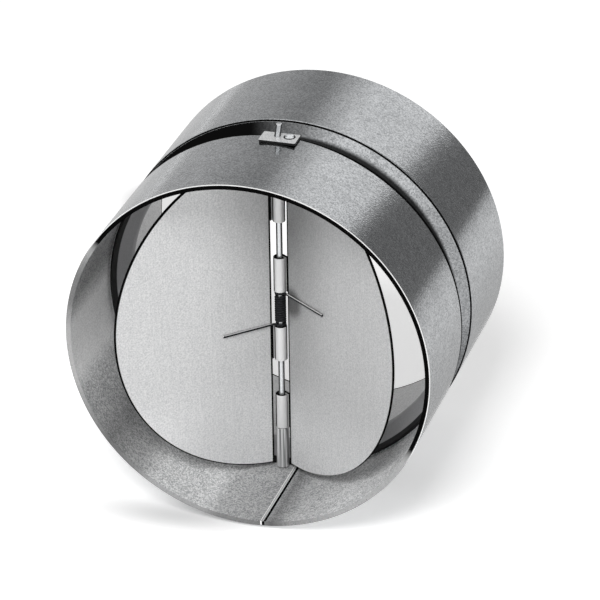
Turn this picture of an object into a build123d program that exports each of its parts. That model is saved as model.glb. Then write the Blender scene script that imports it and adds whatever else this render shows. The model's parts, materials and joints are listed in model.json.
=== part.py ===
"""Round back-draught damper for a 125 mm duct: a rolled sheet casing with two sprung half-disc blades.

The duct axis is Y and air flows along -Y, from the inlet spigot to the outlet spigot.
The origin is on the duct axis in the plane of the inlet mouth, and the hinge pin stands along Z.
All lengths are in millimetres and all angles in degrees.
"""
from build123d import *
import os
from math import atan2, cos, degrees, hypot, radians, sin, sqrt

# Casing: one sheet rolled to a tube, with one groove rolled inwards all round
casing_outer_d = 124.0
sheet_t = 0.8
inlet_spigot_l = 42.2
outlet_spigot_l = 39.6
groove_depth = 4.6
groove_rear_run = 3.3
groove_floor_w = 2.0
groove_front_run = 6.9
groove_edge_r = 1.4
groove_floor_r = 1.0
rim_break = 0.2

# Lap where the two ends of the sheet meet along the bottom of the casing
lap_right_w = 4.5
lap_left_w = 8.5
lap_joggle_w = 4.5
lap_groove_gap = 0.6

# Rubber seal strip glued to the front flank and the crest of the rolled rib
seal_t = 1.2
seal_setback = 0.7
glue_gap = 0.05
seal_notch_gap = 0.45

# Hinge pin
pin_d = 2.1
pin_to_groove = 2.0
pin_head_d = 4.4
pin_head_t = 0.8
pin_seat_gap = 0.05
stub_l = 4.4
stub_break = 0.3
pin_hole_gap = 0.08

# Plate that holds the pin's upper end, and its rivet
plate_left_l = 5.2
plate_right_l = 7.2
plate_front_l = 4.4
plate_rear_l = 2.3
plate_t = 0.9
plate_corner_r = 0.5
plate_lift = 0.03
rivet_from_pin = 4.1
rivet_head_d = 4.0
rivet_head_h = 1.0
rivet_shank_d = 2.0
rivet_hole_gap = 0.05
rivet_tail_d = 2.8
rivet_tail_h = 0.5
rivet_tail_gap = 0.06

# Blades: half discs whose edges are rolled into knuckles round the pin
blade_t = 1.0
blade_seal_gap = 0.4
blade_edge_gap = 0.5
blade_edge_break = 0.2
knuckle_bore_gap = 0.08
knuckle_slit_deg = 20.0
left_open_deg = 42.0
right_open_deg = 36.0

# Pieces along the pin, counted from the middle outwards
spring_bay_l = 12.8
knuckle_pitch = 12.85
stack_gap = 0.15
spacer_wall = 1.0
spacer_end_gap = 0.5

# Torsion spring: a coil on the pin and a leg on the front face of each blade
wire_d = 0.8
coil_bore_gap = 0.1
coil_turns = 11.5
coil_end_gap = 0.15
end_turn_deg = 300.0
leg_bend_r = 1.0
leg_face_gap = 0.06
left_leg_reach = 20.6
right_leg_reach = 22.2
left_leg_slope_deg = 2.3
hook_r = 0.7
hook_deg = 55.0

# Sizes that follow from the driving dimensions
casing_r = casing_outer_d / 2
inner_r = casing_r - sheet_t
groove_w = groove_rear_run + groove_floor_w + groove_front_run
groove_front_y = -inlet_spigot_l - groove_w
casing_l = inlet_spigot_l + groove_w + outlet_spigot_l
flank_bend_deg = degrees(atan2(groove_depth, groove_front_run))
pin_r = pin_d / 2
pin_y = groove_front_y - pin_to_groove
knuckle_bore_r = pin_r + knuckle_bore_gap
knuckle_r = knuckle_bore_r + blade_t
blade_edge_x = knuckle_r + blade_edge_gap
spring_bay_end = spring_bay_l / 2
knuckle_ends = [spring_bay_end + knuckle_pitch * step for step in range(4)]
stack_end = knuckle_ends[3] + stack_gap
lap_ply_r = inner_r - sheet_t
spacer_r = knuckle_bore_r + spacer_wall
spacer_l = lap_ply_r - spacer_end_gap - stack_end
wire_r = wire_d / 2
coil_r = pin_r + coil_bore_gap + wire_r
end_turn_z = spring_bay_end - stack_gap - wire_r
coil_h = 2 * (end_turn_z - wire_d - coil_end_gap)
plate_z = casing_r + plate_lift
pin_top_z = plate_z + plate_t + stub_l
cut_through = 2 * casing_outer_d


def inset(points, depth):
    """Corner points of a line that runs at an even depth under a run of (radius, y) points, towards the axis."""
    moved = []
    for (r0, y0), (r1, y1) in zip(points, points[1:]):
        length = hypot(r1 - r0, y1 - y0)
        shift_r = depth * (y1 - y0) / length
        shift_y = -depth * (r1 - r0) / length
        moved.append(((r0 + shift_r, y0 + shift_y), (r1 + shift_r, y1 + shift_y)))
    corners = [moved[0][0]]
    for (a0, a1), (b0, b1) in zip(moved, moved[1:]):
        da = (a1[0] - a0[0], a1[1] - a0[1])
        db = (b1[0] - b0[0], b1[1] - b0[1])
        cross = da[0] * db[1] - da[1] * db[0]
        along = ((b0[0] - a0[0]) * db[1] - (b0[1] - a0[1]) * db[0]) / cross
        corners.append((a0[0] + along * da[0], a0[1] + along * da[1]))
    corners.append(moved[-1][1])
    return corners


def casing_outline():
    """Outside of the casing wall as (radius, y) points, from the inlet mouth to the outlet mouth."""
    floor_r = casing_r - groove_depth
    floor_rear_y = -inlet_spigot_l - groove_rear_run
    return [
        (casing_r, 0.0),
        (casing_r, -inlet_spigot_l),
        (floor_r, floor_rear_y),
        (floor_r, floor_rear_y - groove_floor_w),
        (casing_r, groove_front_y),
        (casing_r, -casing_l),
    ]


def ring_of(outer_points, outer_radii, inner_points, inner_radii):
    """Turns the strip between two filleted lines round the duct axis."""
    outer = FilletPolyline(*outer_points, radius=outer_radii)
    inner = FilletPolyline(*inner_points, radius=inner_radii)
    ends = [Line(outer @ 0, inner @ 0), Line(outer @ 1, inner @ 1)]
    section = make_face([*outer.edges(), *inner.edges(), *ends])
    return revolve(section, Axis.Y)


def casing():
    outline = casing_outline()
    edge_r, floor_r = groove_edge_r, groove_floor_r
    shell = ring_of(
        outline,
        [edge_r, floor_r, floor_r, edge_r],
        inset(outline, sheet_t),
        [edge_r - sheet_t, floor_r + sheet_t, floor_r + sheet_t, edge_r - sheet_t],
    )
    mouths = [edge for edge in shell.edges().filter_by(GeomType.CIRCLE) if at_mouth(edge)]
    shell = fillet(mouths, rim_break)
    shell += lap_ply(-casing_l + rim_break, groove_front_y - lap_groove_gap)
    shell += lap_ply(-inlet_spigot_l + lap_groove_gap, -rim_break)
    hole = Pos(0, pin_y, 0) * Cylinder(pin_r + pin_hole_gap, cut_through)
    rivet_hole_r = rivet_shank_d / 2 + rivet_hole_gap
    rivet_hole = Pos(rivet_from_pin, pin_y, casing_r) * Cylinder(rivet_hole_r, 4 * sheet_t)
    return shell - hole - rivet_hole


def at_mouth(edge):
    """Does a round edge lie in the plane of one of the casing's two mouths?"""
    y = edge.center(CenterOf.BOUNDING_BOX).Y
    return abs(y) < sheet_t / 4 or abs(y + casing_l) < sheet_t / 4


def lap_ply(front_y, rear_y):
    """Inner ply of the lap from front_y to rear_y, with a joggle that brings it in from the wall on its left."""
    root_r = inner_r + sheet_t / 2

    def at(radius, arc_w):
        turn = arc_w / inner_r
        return (radius * sin(turn), -radius * cos(turn))

    far_w = -lap_left_w - lap_joggle_w
    middle_w = (lap_right_w - lap_left_w) / 2
    outline = [
        Line(at(root_r, far_w), at(inner_r, far_w)),
        Line(at(inner_r, far_w), at(lap_ply_r, -lap_left_w)),
        ThreePointArc(at(lap_ply_r, -lap_left_w), at(lap_ply_r, middle_w), at(lap_ply_r, lap_right_w)),
        Line(at(lap_ply_r, lap_right_w), at(root_r, lap_right_w)),
        ThreePointArc(at(root_r, lap_right_w), at(root_r, middle_w), at(root_r, far_w)),
    ]
    section = Plane.XZ.offset(-rear_y) * make_face(outline)
    return extrude(section, rear_y - front_y)


def seal_lines():
    """Back and face of the seal strip as (radius, y) points, from the crest's rear end to the foot of the flank."""
    outline = casing_outline()[2:5]
    lines = []
    for depth in (sheet_t + glue_gap, sheet_t + glue_gap + seal_t):
        crest_rear, crest_front, foot = inset(outline, depth)
        run = hypot(foot[0] - crest_front[0], foot[1] - crest_front[1])
        share = 1 - seal_setback / run
        tip_r = crest_front[0] + share * (foot[0] - crest_front[0])
        tip_y = crest_front[1] + share * (foot[1] - crest_front[1])
        lines.append([crest_rear, crest_front, (tip_r, tip_y)])
    return lines


def seal_face_r(y):
    """Radius of the seal's sloping face at one place along the duct."""
    _, (r0, y0), (r1, y1) = seal_lines()[1]
    return r0 + (y - y0) * (r1 - r0) / (y1 - y0)


def seal_ring():
    back, face = seal_lines()
    back_r = groove_floor_r + sheet_t + glue_gap
    ring = ring_of(back, back_r, face, back_r + seal_t)
    notch = Pos(0, pin_y, 0) * Cylinder(spacer_r + seal_notch_gap, cut_through)
    tail_r = rivet_tail_d / 2 + seal_notch_gap
    tail_notch = Pos(rivet_from_pin, pin_y, casing_r) * Cylinder(tail_r, casing_r / 2)
    return ring - notch - tail_notch


def hinge_pin():
    seat_z = -casing_r - pin_seat_gap
    length = pin_top_z - seat_z
    rod = Pos(0, pin_y, seat_z + length / 2) * Cylinder(pin_r, length)
    rod = chamfer(rod.edges().group_by(Axis.Z)[-1], stub_break)
    head = Pos(0, pin_y, seat_z - pin_head_t / 2) * Cylinder(pin_head_d / 2, pin_head_t)
    head = fillet(head.edges().group_by(Axis.Z)[0], pin_head_t / 2)
    return rod + head


def pin_retainer_plate():
    width = plate_left_l + plate_right_l
    depth = plate_front_l + plate_rear_l
    centre_x = (plate_right_l - plate_left_l) / 2
    centre_y = pin_y + (plate_rear_l - plate_front_l) / 2
    plate = Pos(centre_x, centre_y, plate_z + plate_t / 2) * Box(width, depth, plate_t)
    plate = fillet(plate.edges().filter_by(Axis.Z), plate_corner_r)
    plate -= Pos(0, pin_y, plate_z) * Cylinder(pin_r + pin_hole_gap, 4 * plate_t)
    shank_hole_r = rivet_shank_d / 2 + rivet_hole_gap
    return plate - Pos(rivet_from_pin, pin_y, plate_z) * Cylinder(shank_hole_r, 4 * plate_t)


def retainer_rivet():
    """Rivet beside the pin: a domed head on the plate, a shank and a tail set inside the casing."""
    head_z = plate_z + plate_t
    head_r = rivet_head_d / 2
    dome_r = (head_r**2 + rivet_head_h**2) / (2 * rivet_head_h)
    dome = Pos(0, 0, head_z + rivet_head_h - dome_r) * Sphere(dome_r)
    dome &= Pos(0, 0, head_z + rivet_head_h / 2) * Cylinder(head_r, rivet_head_h)
    wall_z = sqrt(inner_r**2 - (rivet_from_pin + rivet_tail_d / 2) ** 2)
    tail_top_z = wall_z - rivet_tail_gap
    tail = Pos(0, 0, tail_top_z - rivet_tail_h / 2) * Cylinder(rivet_tail_d / 2, rivet_tail_h)
    shank_l = head_z - tail_top_z
    shank = Pos(0, 0, tail_top_z + shank_l / 2) * Cylinder(rivet_shank_d / 2, shank_l)
    return Pos(rivet_from_pin, pin_y, 0) * (dome + shank + tail)


def spacer_tube(side):
    """Tube that keeps the blades off the casing wall: side 1 above the knuckles, side -1 below them."""
    height = side * (stack_end + spacer_l / 2)
    tube = Cylinder(spacer_r, spacer_l) - Cylinder(knuckle_bore_r, 2 * spacer_l)
    return Pos(0, pin_y, height) * tube


def knuckle(low_z, high_z):
    """One knuckle of a closed blade: its tab, rolled round the pin until it nearly meets the sheet again."""
    low, high = low_z + stack_gap, high_z - stack_gap
    slit = radians(knuckle_slit_deg)
    far = 2 * knuckle_r
    slit_wedge = make_face(Polyline((0, 0), (far * cos(slit), far * sin(slit)), (far, far), (0, far), close=True))
    roll = Circle(knuckle_r) - Circle(knuckle_bore_r) - slit_wedge
    tab = Pos(blade_edge_x / 2, knuckle_r - blade_t / 2) * Rectangle(blade_edge_x, blade_t)
    return Pos(0, 0, low) * extrude(roll + tab, high - low)


def closed_blade(knuckle_spans):
    """The right-hand blade as it lies when the damper is shut, with the pin's axis at the origin."""
    shut_y = pin_y + knuckle_r
    tilt = sin(radians(flank_bend_deg))
    reach = sqrt(1 - tilt**2)
    blade_r = seal_face_r(shut_y) - blade_seal_gap / reach
    sheet_y = knuckle_r - blade_t / 2
    disc = Pos(0, sheet_y, 0) * Rot(90, 0, 0) * Cylinder(blade_r, blade_t)
    disc = chamfer(disc.edges().filter_by(GeomType.CIRCLE), blade_edge_break)
    half = disc & Pos(blade_edge_x + blade_r, sheet_y, 0) * Box(2 * blade_r, 2 * blade_t, 3 * blade_r)
    for low_z, high_z in knuckle_spans:
        half += knuckle(low_z, high_z)
    return half


def swing(shape, side, open_deg):
    """Puts a closed right-hand shape on its pin: side 1 keeps it on the right, side -1 mirrors it to the left."""
    if side < 0:
        shape = mirror(shape, Plane.YZ)
    return Pos(0, pin_y, 0) * Rot(0, 0, -side * open_deg) * shape


def left_blade():
    spans = [(knuckle_ends[2], knuckle_ends[3]), (-knuckle_ends[1], -knuckle_ends[0])]
    return swing(closed_blade(spans), -1, left_open_deg)


def right_blade():
    spans = [(knuckle_ends[0], knuckle_ends[1]), (-knuckle_ends[3], -knuckle_ends[2])]
    return swing(closed_blade(spans), 1, right_open_deg)


def wire_along(path):
    """Spring wire of round section along a path."""
    section = Plane(origin=path @ 0, z_dir=path % 0) * Circle(wire_r)
    return sweep(section, path=path)


def spring_coil():
    pitch = coil_h / coil_turns
    helix = Helix(pitch, coil_h, coil_r)
    section = Plane(origin=helix @ 0, z_dir=helix % 0) * Circle(wire_r)
    return Pos(0, pin_y, -coil_h / 2) * sweep(section, path=helix, is_frenet=True)


def leg_wire(reach, hooked):
    """Half of the spring that moves with a closed right-hand blade: its end turn and its straight leg."""
    leg_v = knuckle_bore_r - wire_r - leg_face_gap
    bend_v = leg_v - leg_bend_r
    bend_u = sqrt((coil_r + leg_bend_r) ** 2 - bend_v**2)
    leave_deg = degrees(atan2(bend_v, bend_u))
    turn = CenterArc((0, 0), coil_r, leave_deg - end_turn_deg, end_turn_deg)
    bend = CenterArc((bend_u, bend_v), leg_bend_r, leave_deg + 180, -90 - leave_deg)
    hook_u = reach - hook_r * sin(radians(hook_deg))
    straight_end = hook_u if hooked else reach
    edges = [*turn.edges(), *bend.edges(), *Line((bend_u, leg_v), (straight_end, leg_v)).edges()]
    if hooked:
        hook_plane = Plane(origin=(hook_u, leg_v, hook_r), x_dir=(1, 0, 0), z_dir=(0, -1, 0))
        edges += (hook_plane * CenterArc((0, 0), hook_r, -90, hook_deg)).edges()
    return wire_along(Wire(edges))


def spring_left_leg():
    wire = Rot(0, left_leg_slope_deg, 0) * leg_wire(left_leg_reach, True)
    return swing(Pos(0, 0, -end_turn_z) * wire, -1, left_open_deg)


def spring_right_leg():
    wire = leg_wire(right_leg_reach, False)
    return swing(Pos(0, 0, end_turn_z) * wire, 1, right_open_deg)


pieces = {
    "casing": casing(),
    "seal_ring": seal_ring(),
    "hinge_pin": hinge_pin(),
    "pin_retainer_plate": pin_retainer_plate(),
    "retainer_rivet": retainer_rivet(),
    "upper_spacer_tube": spacer_tube(1),
    "lower_spacer_tube": spacer_tube(-1),
    "left_blade": left_blade(),
    "right_blade": right_blade(),
    "spring_coil": spring_coil(),
    "spring_left_leg": spring_left_leg(),
    "spring_right_leg": spring_right_leg(),
}

os.makedirs("parts", exist_ok=True)
for node, shape in pieces.items():
    export_step(shape, f"parts/{node}.step")
    print(node, round(shape.volume, 2), "mm3")
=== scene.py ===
# %% [markdown]
# # A sprung back-draught damper, dressed for its photograph
# The real object is a short duct of galvanised sheet with two aluminium half discs on one upright pin.
# A torsion spring on the pin swings the discs shut against a rubber strip when the air stops.
# This lesson loads the measured model as a fixed frame, and then models every visible piece again, as a
# sheet-metal worker would make it: a ring drawn out to a tube, an edge rolled round a pin, a wire bent.
# The new pieces keep the measured sizes, and add the small things that catch light, such as broken edges.
# Nobody held a rule to the real damper. The sizes are fitted to one photograph, and the scale is that of the
# usual 125 mm duct, so "measured" here means read from that model.

# %% Load the measured model
import json
from math import asin, atan2, cos, degrees, hypot, pi, radians, sin, sqrt, tan

import bmesh
import bpy
from mathutils import Matrix, Vector


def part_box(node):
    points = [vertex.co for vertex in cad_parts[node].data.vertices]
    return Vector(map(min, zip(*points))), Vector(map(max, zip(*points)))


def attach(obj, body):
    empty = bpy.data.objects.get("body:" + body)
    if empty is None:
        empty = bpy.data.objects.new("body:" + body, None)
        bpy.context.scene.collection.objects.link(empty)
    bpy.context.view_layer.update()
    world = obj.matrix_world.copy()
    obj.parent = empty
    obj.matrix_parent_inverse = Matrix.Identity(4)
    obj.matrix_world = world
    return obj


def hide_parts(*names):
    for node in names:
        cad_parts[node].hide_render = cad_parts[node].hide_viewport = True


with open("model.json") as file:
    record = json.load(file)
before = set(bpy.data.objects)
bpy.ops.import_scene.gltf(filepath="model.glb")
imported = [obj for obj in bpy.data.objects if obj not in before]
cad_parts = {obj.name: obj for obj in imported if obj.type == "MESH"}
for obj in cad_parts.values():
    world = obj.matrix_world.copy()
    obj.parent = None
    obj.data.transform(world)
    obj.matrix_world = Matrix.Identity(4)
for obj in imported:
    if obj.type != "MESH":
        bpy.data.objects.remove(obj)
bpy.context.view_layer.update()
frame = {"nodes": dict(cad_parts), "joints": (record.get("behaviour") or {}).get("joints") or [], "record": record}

mm = 0.001
print("nodes:", ", ".join(sorted(frame["nodes"])))

# %% [markdown]
# ## Sizes that every piece shares
# The frame says where each measured piece lies, so radii and lengths are read from it where its box gives
# them. What a box can't show, such as the depth of the groove, is written here in millimetres, as the model has it.
# The duct axis is Y, the outlet looks along -Y, and the hinge pin stands along Z.

# %% Shared sizes
casing_low, casing_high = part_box("casing")
casing_r = casing_high.x
casing_l = -casing_low.y
sheet_t = 0.8 * mm
inner_r = casing_r - sheet_t
inlet_spigot_l = 42.2 * mm
groove_depth = 4.6 * mm
groove_rear_run = 3.3 * mm
groove_floor_w = 2.0 * mm
groove_front_run = 6.9 * mm
groove_front_y = -(inlet_spigot_l + groove_rear_run + groove_floor_w + groove_front_run)
groove_floor_rear_y = -(inlet_spigot_l + groove_rear_run)
groove_floor_front_y = groove_floor_rear_y - groove_floor_w
groove_floor_r = casing_r - groove_depth

hinges = {joint["child"]: joint for joint in frame["joints"]}
pin_y = hinges["left_blade"]["pos_m"][1]
left_open = radians(-hinges["left_blade"]["range_deg"][0])
right_open = radians(-hinges["right_blade"]["range_deg"][0])

coil_low, coil_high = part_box("spring_coil")
upper_low, upper_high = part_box("upper_spacer_tube")
pin_low, pin_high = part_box("hinge_pin")
pin_r = 1.05 * mm
knuckle_bore_r = 1.13 * mm
blade_t = 1.0 * mm
knuckle_r = knuckle_bore_r + blade_t
print("casing", round(casing_r / mm, 2), "mm in radius and", round(casing_l / mm, 2), "mm long")
print("hinge at y", round(pin_y / mm, 2), "mm, blades open by", round(degrees(left_open)), round(degrees(right_open)))

# %% [markdown]
# ## Where the camera stands
# The camera looks down on the outlet from the front right, with a long lens, so the two rims are nearly
# equal ellipses.
# Its azimuth, elevation and roll were found by laying the casing's two rims over the photograph.

# %% Camera
camera_azimuth = radians(17.63)
camera_elevation = radians(27.23)
camera_roll = radians(0.83)
camera_distance = 1256.5 * mm
centre_right = -3.71 * mm
centre_down = -1.56 * mm
sensor_width = 36.0
frame_px = 600
focal_px = 3757.8

casing_centre = Vector((0, -casing_l / 2, 0))
look = Vector((-sin(camera_azimuth) * cos(camera_elevation),
               cos(camera_azimuth) * cos(camera_elevation),
               -sin(camera_elevation)))
level_right = Vector((cos(camera_azimuth), sin(camera_azimuth), 0))
level_down = look.cross(level_right)
camera_right = cos(camera_roll) * level_right + sin(camera_roll) * level_down
camera_down = cos(camera_roll) * level_down - sin(camera_roll) * level_right
camera_place = casing_centre - centre_right * camera_right - centre_down * camera_down - camera_distance * look
camera_turn = Matrix((camera_right, -camera_down, -look)).transposed()

bpy.ops.object.camera_add(location=camera_place, rotation=camera_turn.to_euler())
camera = bpy.context.object
camera.name = "camera"
camera.data.sensor_width = sensor_width
camera.data.lens = focal_px / frame_px * sensor_width
camera.data.clip_end = 20
bpy.context.scene.camera = camera
print("camera at", [round(v, 3) for v in camera.location], "with a lens of", round(camera.data.lens), "mm")

# %% [markdown]
# ## Helpers for modelling by hand
# Every operator acts on what is selected, so each piece starts with nothing selected, and faces, edges or
# points are then picked by where they are.

# %% Picking
def pick(kind, test):
    """Selects the vertices, edges or faces of the mesh in edit mode that pass a test, and nothing else."""
    bpy.ops.mesh.select_mode(type=kind)
    bpy.ops.mesh.select_all(action="DESELECT")
    mesh = bmesh.from_edit_mesh(bpy.context.object.data)
    items = {"VERT": mesh.verts, "EDGE": mesh.edges, "FACE": mesh.faces}[kind]
    found = [item for item in items if test(item)]
    for item in found:
        item.select_set(True)
    mesh.select_flush_mode()
    bmesh.update_edit_mesh(bpy.context.object.data)
    return len(found)


def middle(item):
    """The middle of an edge or a face, or the place of a vertex."""
    if isinstance(item, bmesh.types.BMVert):
        return item.co
    return sum((vertex.co for vertex in item.verts), Vector()) / len(item.verts)


def edit():
    bpy.ops.object.mode_set(mode="EDIT")


def leave():
    bpy.ops.object.mode_set(mode="OBJECT")


# %% [markdown]
# ### Finishing a piece
# A modifier such as Bevel or Solidify is added and applied at once, so that the next step works on its result.
# A finished piece has its place written into its mesh, its faces turned outwards and its gentle edges smoothed.

# %% Taking and finishing
def take(*pieces):
    """Selects pieces and nothing else, with the first one active."""
    bpy.ops.object.select_all(action="DESELECT")
    for piece in pieces:
        piece.select_set(True)
    bpy.context.view_layer.objects.active = pieces[0]


def apply_modifier(piece, kind, **settings):
    """Adds a modifier with its settings and applies it at once."""
    take(piece)
    modifier = piece.modifiers.new(kind.lower(), kind)
    for key, value in settings.items():
        setattr(modifier, key, value)
    bpy.ops.object.modifier_apply(modifier=modifier.name)


def settle(piece, smooth_angle=radians(35)):
    """Writes a piece's place into its mesh, points its faces outwards and smooths its gentle edges.

    The large faces keep their own direction, so the small rounds beside them don't bend their reflections.
    """
    take(piece)
    bpy.ops.object.transform_apply(location=True, rotation=True, scale=True)
    edit()
    bpy.ops.mesh.select_all(action="SELECT")
    bpy.ops.mesh.normals_make_consistent(inside=False)
    leave()
    bpy.ops.object.shade_smooth_by_angle(angle=smooth_angle)
    apply_modifier(piece, "WEIGHTED_NORMAL", keep_sharp=True, weight=100)
    print(piece.name, "has", len(piece.data.polygons), "faces")


def join(first, *others):
    """Makes several pieces one."""
    take(first, *others)
    bpy.ops.object.join()
    return first


# %% [markdown]
# ### A lathe for round pieces
# Tubes, rims, pins and rivets are round, so one helper draws them all. It adds a circle and extrudes its ring
# along a list of radii and heights, which is how a spun tube, a turned pin or a rubber ring is shaped.
# Screw on a profile would do as well, but here a single ring can be picked and rounded afterwards.

# %% The lathe
def lathe(name, profile, steps, closed=False):
    """Draws a ring of vertices out along (radius, height) pairs round Z. A closed profile ends where it began."""
    bpy.ops.object.select_all(action="DESELECT")
    radius, height = profile[0]
    bpy.ops.mesh.primitive_circle_add(vertices=steps, radius=radius, location=(0, 0, 0))
    piece = bpy.context.object
    piece.name = name
    edit()
    bpy.ops.mesh.select_all(action="SELECT")
    bpy.ops.transform.translate(value=(0, 0, height))
    for next_radius, next_height in profile[1:]:
        bpy.ops.mesh.extrude_edges_move(TRANSFORM_OT_translate={"value": (0, 0, next_height - height)})
        ratio = next_radius / radius
        bpy.ops.transform.resize(value=(ratio, ratio, 1), center_override=(0, 0, 0))
        radius, height = next_radius, next_height
    if closed:
        bpy.ops.mesh.select_all(action="SELECT")
        bpy.ops.mesh.remove_doubles(threshold=0.001 * mm)
    leave()
    return piece


def round_ring(radius, height, offset, segments):
    """Rounds the ring of edges at one radius and height of the piece in edit mode."""
    def on_ring(edge):
        ends = [vertex.co for vertex in edge.verts]
        return all(abs(hypot(v.x, v.y) - radius) < 0.02 * mm and abs(v.z - height) < 0.02 * mm for v in ends)

    count = pick("EDGE", on_ring)
    bpy.ops.mesh.bevel(offset=offset, segments=segments, affect="EDGES")
    return count


def cap(height):
    """Closes the open ring at one height with a flat face."""
    pick("VERT", lambda vertex: abs(vertex.co.z - height) < 0.001 * mm and vertex.is_boundary)
    bpy.ops.mesh.edge_face_add()


# %% [markdown]
# ## The casing
# The casing is one strip of 0.8 mm sheet, rolled to a tube and lapped along the bottom.
# A groove is then rolled into it all round, with a steep rear flank and a gentle front one, and its four
# bends keep the radius of the rolling wheel.
# So a ring is drawn out along the strip's outer line, the four bends are rounded with bevels whose width
# comes from the bend radius, and Solidify gives the wall its thickness inwards.
# In the photograph a dark line runs inside the mouth's bright edge. It is made as a burr that the shears pushed in
# by a millimetre, which is a guess, because no burr is seen as such. The dark line and the bright edge are also
# painted on the cut as painted shade and highlight.

# %% Casing wall
ring_steps = 288
groove_edge_r = 1.4 * mm
groove_floor_bend_r = 1.0 * mm
rim_break = 0.15 * mm
burr_l = 0.6 * mm
burr_h = 1.0 * mm
rear_bend = atan2(groove_depth, groove_rear_run)
front_bend = atan2(groove_depth, groove_front_run)
outline = [
    (casing_r, 0.0),
    (casing_r, -inlet_spigot_l),
    (groove_floor_r, groove_floor_rear_y),
    (groove_floor_r, groove_floor_front_y),
    (casing_r, groove_front_y),
    (casing_r, -casing_l),
]
casing = lathe("rolled_casing", outline, ring_steps)
edit()
for (radius, height), bend, bend_r in zip(outline[1:5], (rear_bend, rear_bend, front_bend, front_bend),
                                          (groove_edge_r, groove_floor_bend_r, groove_floor_bend_r, groove_edge_r)):
    round_ring(radius, height, bend_r * tan(bend / 2), 6)
bpy.ops.mesh.select_all(action="SELECT")
bpy.ops.mesh.normals_make_consistent(inside=False)
leave()
apply_modifier(casing, "SOLIDIFY", thickness=sheet_t, offset=-1, use_even_offset=True)
edit()
bpy.ops.mesh.select_all(action="SELECT")
bpy.ops.mesh.bisect(plane_co=(0, 0, -casing_l + burr_l), plane_no=(0, 0, 1))
pick("VERT", lambda v: abs(v.co.z + casing_l) < 0.01 * mm and hypot(v.co.x, v.co.y) < inner_r + 0.1 * mm)
burr_ratio = (inner_r - burr_h) / inner_r
bpy.ops.transform.resize(value=(burr_ratio, burr_ratio, 1), center_override=(0, 0, -casing_l))
leave()
apply_modifier(casing, "BEVEL", width=rim_break, segments=3, limit_method="ANGLE", angle_limit=radians(60))
casing.rotation_euler = (-pi / 2, 0, 0)
bpy.ops.object.transform_apply(rotation=True)
print("casing wall of", len(casing.data.polygons), "faces, box", [round(v / mm, 2) for v in casing.dimensions])

# %% [markdown]
# ## The lap along the bottom
# The strip's two ends overlap at the bottom of the tube.
# Seen from inside, the inner end rises over the wall in a soft joggle on the left, lies flat for 13 mm, and
# stops in a sheared edge on the right that stands a little off the wall, so a dark line runs beside it.
# Each ply is an arc cut from a ring at the wall's inside, eased into the wall at its joggle, lifted at its
# sheared edge, and drawn out along the duct.

# %% Lap plies
lap_right_w = 4.5 * mm
lap_left_w = 8.5 * mm
lap_joggle_w = 4.5 * mm
lap_groove_gap = 0.6 * mm
lap_edge_lift = 0.22 * mm
lap_lift_w = 2.5 * mm
arc_steps = 1440


def lap_radius(arc_w):
    """Radius of the ply's outer face at one arc width from the bottom line: in the wall, flat on it, or lifted."""
    joggle = min(max((-lap_left_w - arc_w) / lap_joggle_w, 0), 1)
    lift = min(max((arc_w - lap_right_w + lap_lift_w) / lap_lift_w, 0), 1)
    eased = joggle * joggle * (3 - 2 * joggle)
    return inner_r + eased * sheet_t * 1.05 - lift * lift * lap_edge_lift


def lap_ply(name, front_y, rear_y):
    """One stretch of the inner ply, between two places along the duct."""
    bpy.ops.object.select_all(action="DESELECT")
    bpy.ops.mesh.primitive_circle_add(vertices=arc_steps, radius=inner_r)
    ply = bpy.context.object
    ply.name = name
    edit()
    step_w = 2 * pi * inner_r / arc_steps
    pick("VERT", lambda v: v.co.y < 0 or v.co.x < -lap_left_w - lap_joggle_w - step_w or v.co.x > lap_right_w)
    bpy.ops.mesh.delete(type="VERT")
    mesh = bmesh.from_edit_mesh(ply.data)
    for vertex in mesh.verts:
        arc_w = inner_r * asin(vertex.co.x / inner_r)
        vertex.co *= lap_radius(arc_w) / vertex.co.length
    bmesh.update_edit_mesh(ply.data)
    bpy.ops.mesh.select_all(action="SELECT")
    bpy.ops.transform.translate(value=(0, 0, front_y))
    bpy.ops.mesh.extrude_edges_move(TRANSFORM_OT_translate={"value": (0, 0, rear_y - front_y)})
    bpy.ops.mesh.select_all(action="SELECT")
    mesh = bmesh.from_edit_mesh(ply.data)
    if any(face.normal.y < 0 for face in mesh.faces):
        bpy.ops.mesh.flip_normals()
    leave()
    apply_modifier(ply, "SOLIDIFY", thickness=sheet_t, offset=-1, use_even_offset=True)
    apply_modifier(ply, "BEVEL", width=0.1 * mm, segments=2, limit_method="ANGLE", angle_limit=radians(60))
    ply.rotation_euler = (-pi / 2, 0, 0)
    bpy.ops.object.transform_apply(rotation=True)
    return ply


front_ply = lap_ply("front_ply", -casing_l + rim_break, groove_front_y - lap_groove_gap)
rear_ply = lap_ply("rear_ply", -inlet_spigot_l + lap_groove_gap, -rim_break)
for ply in (front_ply, rear_ply):
    print("lap ply", [round(v / mm, 2) for v in ply.dimensions])

# %% [markdown]
# ## Holes in the casing
# The pin passes through the wall at the top and the bottom, and the rivet beside it passes through the top.
# A rod a little thicker than the pin is subtracted for each, as a drill would do it.

# %% Drilling
pin_hole_gap = 0.08 * mm
rivet_low, rivet_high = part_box("retainer_rivet")
rivet_x = (rivet_low.x + rivet_high.x) / 2
rivet_hole_r = 1.05 * mm


def drill(piece, radius, place, depth, steps=48):
    """Subtracts a rod along Z from a piece."""
    bpy.ops.object.select_all(action="DESELECT")
    bpy.ops.mesh.primitive_cylinder_add(vertices=steps, radius=radius, depth=depth, location=place)
    rod = bpy.context.object
    apply_modifier(piece, "BOOLEAN", operation="DIFFERENCE", object=rod, solver="EXACT")
    bpy.data.objects.remove(rod)


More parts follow.
